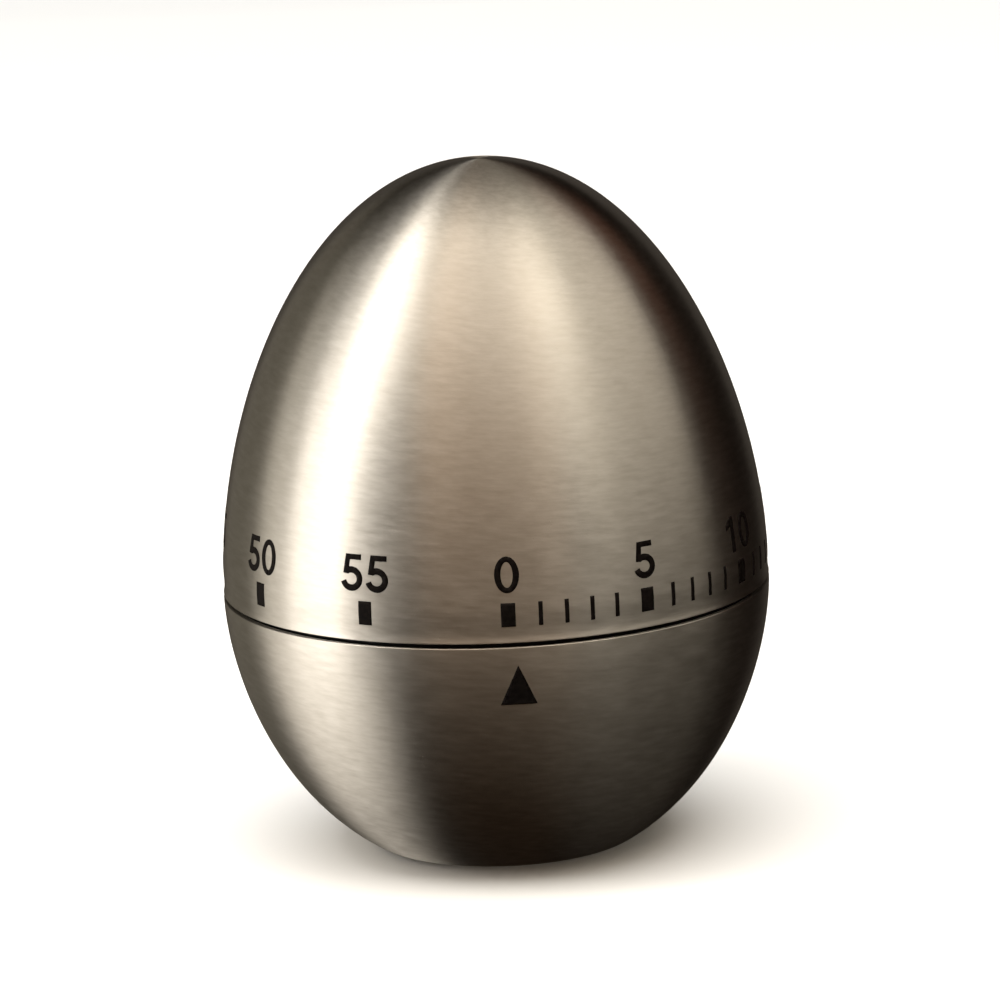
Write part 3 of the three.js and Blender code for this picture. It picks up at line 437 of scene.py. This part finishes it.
def upper_shell():
    """The dial: a thin dome whose edge turns out a little above the seam."""
    neck_z = UPPER_EDGE_Z + NECK_HEIGHT
    edge_z = UPPER_EDGE_Z + UPPER_EDGE_ROUND
    outer = wall(UPPER_CURVE, 0.0, UPPER_STEPS, neck_z)
    inner = wall(UPPER_CURVE, SHELL_THICK, UPPER_STEPS, neck_z)
    for i in range(1, NECK_STEPS + 1):
        z = neck_z + (edge_z - neck_z) * i / NECK_STEPS
        outer.append((surface(z)[0] - flare(z), z))
    lip_radius = outer[-1][0] - UPPER_EDGE_ROUND
    outer += arc((lip_radius, edge_z), (UPPER_EDGE_ROUND, UPPER_EDGE_ROUND), 0, -90, 4)[1:]
    inner += [(RADIUS - SHELL_THICK, UPPER_EDGE_Z)]
    piece = turned("upper_shell_skin", inner + outer[::-1], SHELL_SEGMENTS, STEEL)
    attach(piece, "dial")
    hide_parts("upper_shell")


def lower_shell():
    """The cup that stands still, with a rounded rim, a rounded base and a hole in its middle."""
    edge_z = LOWER_EDGE_Z - LOWER_EDGE_ROUND
    outer = wall(LOWER_CURVE, 0.0, LOWER_STEPS, edge_z)
    inner = wall(LOWER_CURVE, SHELL_THICK, LOWER_STEPS, edge_z)
    lip_radius = outer[-1][0] - LOWER_EDGE_ROUND
    lip = arc((lip_radius, edge_z), (LOWER_EDGE_ROUND, LOWER_EDGE_ROUND), 0, 90, 5)[1:]
    centre = (BASE_FLAT_RADIUS, BASE_Z + BASE_FILLET)
    slope = math.degrees(BASE_SLOPE)
    inner_fillet = BASE_FILLET - SHELL_THICK
    hole_centre = (BASE_HOLE_RADIUS + ROLLED_EDGE, BASE_Z + ROLLED_EDGE)
    profile = arc(hole_centre, (ROLLED_EDGE, ROLLED_EDGE), 180, 270, 5)
    profile += arc(centre, (BASE_FILLET, BASE_FILLET), -90, slope - 90, 10)[:-1]
    profile += outer + lip + inner[::-1]
    profile += arc(centre, (inner_fillet, inner_fillet), slope - 90, -90, 6)[1:]
    profile.append((BASE_HOLE_RADIUS, BASE_Z + SHELL_THICK))
    piece = turned("lower_shell_skin", profile, SHELL_SEGMENTS, STEEL)
    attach(piece, "case")
    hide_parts("lower_shell")


def seam_collar():
    """The smooth outside of the housing's collar, which shows dark in the seam."""
    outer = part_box("glide_ring")[1].x + COLLAR_OUTSIDE_GLIDE
    inner = outer - COLLAR_THICK
    bottom = LOWER_EDGE_Z - COLLAR_LAP
    top = UPPER_EDGE_Z + COLLAR_LAP
    profile = [(inner, bottom), (outer, bottom), (outer, top), (inner, top)]
    piece = turned("seam_collar", profile, SHELL_SEGMENTS, SLOT_MATERIALS["black_plastic"])
    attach(piece, "case")


# ---- Base ---------------------------------------------------------------------------------------


FOOT_EDGE_ROUND = 0.35 * MM
SCREW_HEAD_HEIGHT = 0.7 * MM
SCREW_SLOT_DEPTH = 0.4 * MM
SCREW_HALF_SLOT = 0.2 * MM
SCREW_SHANK_RADIUS = 0.85 * MM


def foot_ring():
    """Rubber ring with rounded edges, in the cap's groove."""
    low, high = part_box("foot_ring")
    outer = high.x
    inner = outer - FOOT_WIDTH
    edge = FOOT_EDGE_ROUND
    profile = arc((inner + edge, low.z + edge), (edge, edge), 180, 270, 6)
    profile += arc((outer - edge, low.z + edge), (edge, edge), 270, 360, 6)
    profile += [(outer, high.z), (inner, high.z)]
    piece = turned("foot_ring_skin", profile, SHELL_SEGMENTS, SLOT_MATERIALS["foot_rubber"])
    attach(piece, "case")
    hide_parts("foot_ring")


def prism(bm, outline, z0, z1):
    """An upright prism on a flat convex outline that runs anticlockwise."""
    low = [bm.verts.new((x, y, z0)) for x, y in outline]
    high = [bm.verts.new((x, y, z1)) for x, y in outline]
    bm.faces.new(low[::-1])
    bm.faces.new(high)
    for i in range(len(outline)):
        j = (i + 1) % len(outline)
        bm.faces.new((low[i], low[j], high[j], high[i]))


def base_screw(node):
    """A slotted screw: a round head in two halves either side of its slot, on a plain shank."""
    low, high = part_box(node)
    centre = (low + high) / 2
    head = (high.x - low.x) / 2
    slot_top = low.z + SCREW_SLOT_DEPTH
    head_top = low.z + SCREW_HEAD_HEIGHT
    start = math.degrees(math.asin(SCREW_HALF_SLOT / head))
    bm = bmesh.new()
    prism(bm, ring(head, 48), slot_top, head_top)
    prism(bm, ring(SCREW_SHANK_RADIUS, 24), head_top, high.z)
    for turn in (0, 180):
        half = arc((0, 0), (head, head), turn + start, turn + 180 - start, 24)
        prism(bm, half, low.z, slot_top)
    bmesh.ops.translate(bm, verts=bm.verts, vec=(centre.x, centre.y, 0))
    mesh = bpy.data.meshes.new(node + "_skin")
    bm.to_mesh(mesh)
    bm.free()
    piece = new_object(node + "_skin", mesh, SLOT_MATERIALS["plated_steel"])
    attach(piece, "case")
    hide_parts(node)


# ---- Print on the shells --------------------------------------------------------------------------

INK_PROUD = 0.02 * MM
PATCH_STEP = 0.4 * MM
FRONT = -90.0  # the pointer faces -Y
PLACES = 7  # decimals kept of a flat point in metres, so that outlines that touch share their points
DIAL_OFFSET = -1.6  # where the dial's zero stands at rest, in degrees from the pointer
SAME_POINT = 1e-8


def densify(polygon, step):
    """The polygon with points added so that no side is longer than the step."""
    points = []
    for (x0, y0), (x1, y1) in zip(polygon, polygon[1:] + polygon[:1]):
        count = max(1, math.ceil(math.hypot(x1 - x0, y1 - y0) / step))
        for i in range(count):
            x = x0 + (x1 - x0) * i / count
            y = y0 + (y1 - y0) * i / count
            points.append((round(x, PLACES), round(y, PLACES)))
    return points


def flat_patch(polygons):
    """Triangles that cover the union of the polygons, fine enough to follow the shell."""
    points = []
    faces = []
    for polygon in polygons:
        edge = densify(polygon, PATCH_STEP)
        faces.append(list(range(len(points), len(points) + len(edge))))
        points += edge
    low_x = min(x for x, _ in points)
    high_x = max(x for x, _ in points)
    low_y = min(y for _, y in points)
    high_y = max(y for _, y in points)
    x = low_x + PATCH_STEP / 2
    while x < high_x:
        y = low_y + PATCH_STEP / 2
        while y < high_y:
            points.append((x, y))
            y += PATCH_STEP
        x += PATCH_STEP
    places = [Vector(p) for p in points]
    vertices, _, triangles, _, _, origins = delaunay_2d_cdt(places, [], faces, 0, SAME_POINT, True)
    return vertices, [t for t, origin in zip(triangles, origins) if origin]


def on_shell(x, y, centre_degrees, base_z, lift):
    """The place on the egg of a flat point: x round from the centre line and y up from base_z."""
    radius, normal = surface(base_z + y)
    if base_z > SEAM_Z:
        radius -= flare(base_z + y)
    angle = math.radians(centre_degrees) + x / RADIUS
    reach = radius + lift * normal[0]
    return (reach * math.cos(angle), reach * math.sin(angle), base_z + y + lift * normal[1])


def printed(bm, polygons, centre_degrees, base_z):
    """Adds one printed mark, a thin closed layer of ink, to the mesh."""
    vertices, triangles = flat_patch(polygons)
    used = sorted({i for t in triangles for i in t})
    top = {}
    under = {}
    for i in used:
        x, y = vertices[i]
        top[i] = bm.verts.new(on_shell(x, y, centre_degrees, base_z, INK_PROUD))
        under[i] = bm.verts.new(on_shell(x, y, centre_degrees, base_z, -INK_PROUD))
    sides = {}  # each side with its direction: one whose reverse is missing is on the outline
    for a, b, c in triangles:
        bm.faces.new((top[a], top[b], top[c])).smooth = True
        bm.faces.new((under[c], under[b], under[a])).smooth = True
        for side in ((a, b), (b, c), (c, a)):
            sides[side] = True
    for a, b in sides:
        if (b, a) not in sides:
            bm.faces.new((top[b], top[a], under[a], under[b]))


def rectangle(x0, y0, x1, y1):
    return [(x0, y0), (x1, y0), (x1, y1), (x0, y1)]


def stroke(path, width):
    """The outline of a line of even width drawn along a path, with square ends."""
    left = []
    right = []
    for i, (x, y) in enumerate(path):
        before = path[max(i - 1, 0)]
        after = path[min(i + 1, len(path) - 1)]
        dx = after[0] - before[0]
        dy = after[1] - before[1]
        length = math.hypot(dx, dy)
        nx = -dy / length * width / 2
        ny = dx / length * width / 2
        left.append((x + nx, y + ny))
        right.append((x - nx, y - ny))
    return right + left[::-1]


# Digits, one unit tall, drawn from strokes. Each is a list of polygons that may overlap.
STROKE = 0.178
THIN = 0.15  # thickness of level strokes
DIGIT_WIDTH = 0.69
DIGIT_GAP = 0.1


def digit_0():
    centre = (DIGIT_WIDTH / 2, 0.5)
    outer = (DIGIT_WIDTH / 2, 0.5)
    inner = (outer[0] - STROKE, outer[1] - THIN)
    right = arc(centre, outer, -90, 90, 20) + arc(centre, inner, 90, -90, 20)
    left = arc(centre, outer, 90, 270, 20) + arc(centre, inner, 270, 90, 20)
    return [right, left]


def digit_1():
    stem = 0.31
    flag = [(stem + 0.05, 1.0), (0.08, 0.8), (0.08, 0.65), (stem + 0.05, 0.77)]
    return [rectangle(stem, 0, stem + STROKE, 1.0), flag]


def digit_2():
    bowl = arc((0.345, 0.69), (0.25, 0.235), 172, -35, 16)
    slope = bowl + [(0.3, 0.3), (0.12, 0.1)]
    return [stroke(slope, STROKE), rectangle(0.03, 0, 0.66, THIN)]


def digit_3():
    upper = arc((0.32, 0.725), (0.23, 0.2), 168, -88, 16)
    lower = arc((0.32, 0.29), (0.265, 0.215), 88, -168, 18)
    waist = rectangle(0.24, 0.44, 0.35, 0.44 + THIN)
    return [stroke(upper, STROKE), stroke(lower, STROKE), waist]


def digit_4():
    slope = [(0.1, 0.28), (0.46, 0.93)]
    return [
        rectangle(0.39, 0, 0.39 + STROKE, 1.0),
        rectangle(0.02, 0.21, 0.67, 0.21 + THIN),
        stroke(slope, THIN),
    ]


def digit_5():
    bowl = arc((0.32, 0.325), (0.262, 0.25), 128, -164, 22)
    stem = [(0.13, 1.0), (0.055, 0.47), (0.215, 0.455), (0.285, 1.0)]
    return [stroke(bowl, STROKE), stem, rectangle(0.135, 1.0 - THIN, 0.62, 1.0)]


DIGITS = {"0": digit_0, "1": digit_1, "2": digit_2, "3": digit_3, "4": digit_4, "5": digit_5}

BAR_LOW = 2.0 * MM  # above the seam
BAR_HIGH = 4.55 * MM
MINUTE_BAR = 0.46 * MM
FIVE_BAR = 1.55 * MM
FIRST_MINUTE = 6.6  # degrees after each five-minute bar
MINUTE_STEP = 5.43
NUMERAL_LOW = 5.6 * MM  # above the seam
NUMERAL_HEIGHT = 3.87 * MM
SINGLE_MINUTES_TO = 15  # single minutes are marked up to here
POINTER_APEX = -2.2 * MM  # below the seam
POINTER_FOOT = -6.6 * MM
POINTER_HALF_WIDTH = 2.0 * MM


def numeral_polygons(text):
    """A numeral's digits side by side, centred, at full size."""
    advance = DIGIT_WIDTH + DIGIT_GAP
    start = -(len(text) * advance - DIGIT_GAP) / 2
    polygons = []
    for k, character in enumerate(text):
        shift = start + k * advance
        for polygon in DIGITS[character]():
            polygons.append([((x + shift) * NUMERAL_HEIGHT, y * NUMERAL_HEIGHT) for x, y in polygon])
    return polygons


def ink_object(name, bm, body):
    mesh = bpy.data.meshes.new(name)
    bm.to_mesh(mesh)
    bm.free()
    piece = new_object(name, mesh, INK)
    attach(piece, body)


def bar(bm, width, centre):
    """One upright bar of the dial's scale."""
    printed(bm, [rectangle(-width / 2, 0, width / 2, BAR_HIGH - BAR_LOW)], centre, SEAM_Z + BAR_LOW)


def dial_print():
    """Numerals and bars round the dial: one numeral and one wide bar every five minutes."""
    numerals = bmesh.new()
    bars = bmesh.new()
    for minute in range(0, 60, 5):
        centre = FRONT + DIAL_OFFSET + 360 / 60 * minute
        printed(numerals, numeral_polygons(str(minute)), centre, SEAM_Z + NUMERAL_LOW)
        bar(bars, FIVE_BAR, centre)
        if minute < SINGLE_MINUTES_TO:
            for k in range(4):
                bar(bars, MINUTE_BAR, centre + FIRST_MINUTE + k * MINUTE_STEP)
    ink_object("dial_numerals", numerals, "dial")
    ink_object("dial_bars", bars, "dial")


def pointer_print():
    """The triangle on the lower shell that the dial is read against."""
    foot_left = (-POINTER_HALF_WIDTH, 0)
    foot_right = (POINTER_HALF_WIDTH, 0)
    apex = (0, POINTER_APEX - POINTER_FOOT)
    bm = bmesh.new()
    printed(bm, [[foot_left, foot_right, apex]], FRONT, SEAM_Z + POINTER_FOOT)
    ink_object("pointer", bm, "case")


# ---- Light, floor and camera ----------------------------------------------------------------------

CAMERA_AZIMUTH = -3.7  # degrees from -Y towards +X
CAMERA_ELEVATION = 13.4
CAMERA_ROLL = -2.35
CAMERA_DISTANCE = 625 * MM
AIM_RIGHT = 0.4 * MM
AIM_UP = 8.8 * MM
LENS_MM = 204.4
SENSOR_MM = 36
CLIP_START = 10 * MM
BOX_DISTANCE = 700 * MM  # of every soft light, from the timer's middle
FLOOR_HALF = 2500 * MM


def heading(azimuth, elevation):
    """Unit vector from the timer, azimuth in degrees from the camera's side, positive to the right."""
    a = math.radians(CAMERA_AZIMUTH + azimuth)
    e = math.radians(elevation)
    return Vector((math.sin(a) * math.cos(e), -math.cos(a) * math.cos(e), math.sin(e)))


def camera():
    """Stands back from the seam's centre and looks a little above it, with a slight roll."""
    back = heading(0, CAMERA_ELEVATION)
    level = Vector((-back.y, back.x, 0)).normalized()
    upright = back.cross(level)
    roll = math.radians(CAMERA_ROLL)
    right = math.cos(roll) * level + math.sin(roll) * upright
    up = math.cos(roll) * upright - math.sin(roll) * level
    seam_centre = Vector((0, 0, SEAM_Z))
    place = seam_centre + back * CAMERA_DISTANCE
    aim = seam_centre + right * AIM_RIGHT + up * AIM_UP
    back = (place - aim).normalized()
    right = up.cross(back).normalized()
    up = back.cross(right)
    data = bpy.data.cameras.new("camera")
    data.sensor_width = SENSOR_MM
    data.lens = LENS_MM
    data.clip_start = CLIP_START
    eye = bpy.data.objects.new("camera", data)
    eye.matrix_world = Matrix.Translation(place) @ Matrix((right, up, back)).transposed().to_4x4()
    bpy.context.scene.collection.objects.link(eye)
    bpy.context.scene.camera = eye


def soft_box(name, azimuth, elevation, wide, high, radiance, colour):
    """A rectangular soft light that faces the timer, its size given as the angles it fills."""
    data = bpy.data.lights.new(name, "AREA")
    data.shape = "RECTANGLE"
    data.size = 2 * BOX_DISTANCE * math.tan(math.radians(wide / 2))
    data.size_y = 2 * BOX_DISTANCE * math.tan(math.radians(high / 2))
    data.energy = radiance * math.pi * data.size * data.size_y
    data.color = colour
    lamp = bpy.data.objects.new(name, data)
    towards = heading(azimuth, elevation)
    lamp.location = Vector((0, 0, (SEAM_Z + TOP_Z) / 2)) + towards * BOX_DISTANCE
    lamp.rotation_euler = towards.to_track_quat("Z", "Y").to_euler()
    bpy.context.scene.collection.objects.link(lamp)


def floor_light():
    """Even light from above for the floor, which the metal doesn't mirror."""
    data = bpy.data.lights.new("floor_light", "SUN")
    data.energy = 3.0
    data.angle = math.radians(70)
    lamp = bpy.data.objects.new("floor_light", data)
    lamp.visible_glossy = False
    bpy.context.scene.collection.objects.link(lamp)


def lights():
    """Each soft light's azimuth, elevation, width and height in degrees, radiance and colour."""
    floor_light()
    soft_box("key_high", -75, 42, 19, 36, 5.2, (1.0, 0.98, 0.94))
    soft_box("key_middle", -80, 5, 30, 40, 3.2, (1.0, 0.97, 0.91))
    soft_box("key_halo", -106, 4, 22, 36, 0.85, (1.0, 0.96, 0.86))
    soft_box("key_low", -85, -31, 54, 34, 1.3, (1.0, 0.95, 0.86))
    soft_box("left_glow", -130, 0, 50, 50, 0.15, (1.0, 0.93, 0.75))
    soft_box("peach_edge", -34, 55, 16, 50, 0.45, (1.0, 0.7, 0.48))
    soft_box("front_dim", 0, 30, 60, 50, 0.33, (1.0, 0.64, 0.38))
    soft_box("overhead", -13, 68, 88, 36, 2.5, (1.0, 0.93, 0.81))
    soft_box("right_window", 74, 42, 60, 57, 1.13, (1.0, 0.92, 0.78))
    soft_box("cool_edge", 112, 46, 8, 36, 0.14, (0.7, 0.85, 1.0))
    soft_box("red_glow", 127, 40, 10, 36, 0.25, (1.0, 0.4, 0.25))
    soft_box("back_glow", 180, -5, 60, 50, 0.06, (1.0, 0.9, 0.78))


def world():
    """White behind the timer for the camera, and a dim warm room for everything else."""
    surroundings = bpy.data.worlds.new("studio")
    bpy.context.scene.world = surroundings
    surroundings.use_nodes = True
    tree = surroundings.node_tree
    tree.nodes.clear()
    path = tree.nodes.new("ShaderNodeLightPath")
    seen = tree.nodes.new("ShaderNodeBackground")
    seen.inputs["Color"].default_value = (1, 1, 1, 1)
    room = tree.nodes.new("ShaderNodeBackground")
    room.inputs["Color"].default_value = (0.006, 0.004, 0.003, 1)
    choose = tree.nodes.new("ShaderNodeMixShader")
    out = tree.nodes.new("ShaderNodeOutputWorld")
    tree.links.new(path.outputs["Is Camera Ray"], choose.inputs["Fac"])
    tree.links.new(room.outputs[0], choose.inputs[1])
    tree.links.new(seen.outputs[0], choose.inputs[2])
    tree.links.new(choose.outputs[0], out.inputs["Surface"])


def floor():
    """A pale floor that the metal doesn't mirror and that lets the low lights through."""
    n = Nodes("pale_floor")
    tone = n.noise(n.object_coords(), 3.0, detail=2.0)
    colour = n.mix_colour(tone, (0.84, 0.84, 0.83), (0.87, 0.87, 0.86))
    material = n.finish(base_color=colour, roughness=0.7)
    mesh = bpy.data.meshes.new("floor")
    bm = bmesh.new()
    corners = rectangle(-FLOOR_HALF, -FLOOR_HALF, FLOOR_HALF, FLOOR_HALF)
    bm.faces.new([bm.verts.new((x, y, 0)) for x, y in corners])
    bm.to_mesh(mesh)
    bm.free()
    piece = new_object("floor", mesh, material)
    piece.visible_glossy = False
    piece.visible_shadow = False


# ---- Build ----------------------------------------------------------------------------------------

bpy.context.scene.view_settings.view_transform = "Standard"
dress_cad_nodes()
upper_shell()
lower_shell()
seam_collar()
foot_ring()
for screw_number in (1, 2, 3):
    base_screw(f"base_screw_{screw_number}")
dial_print()
pointer_print()
floor()
world()
lights()
camera()
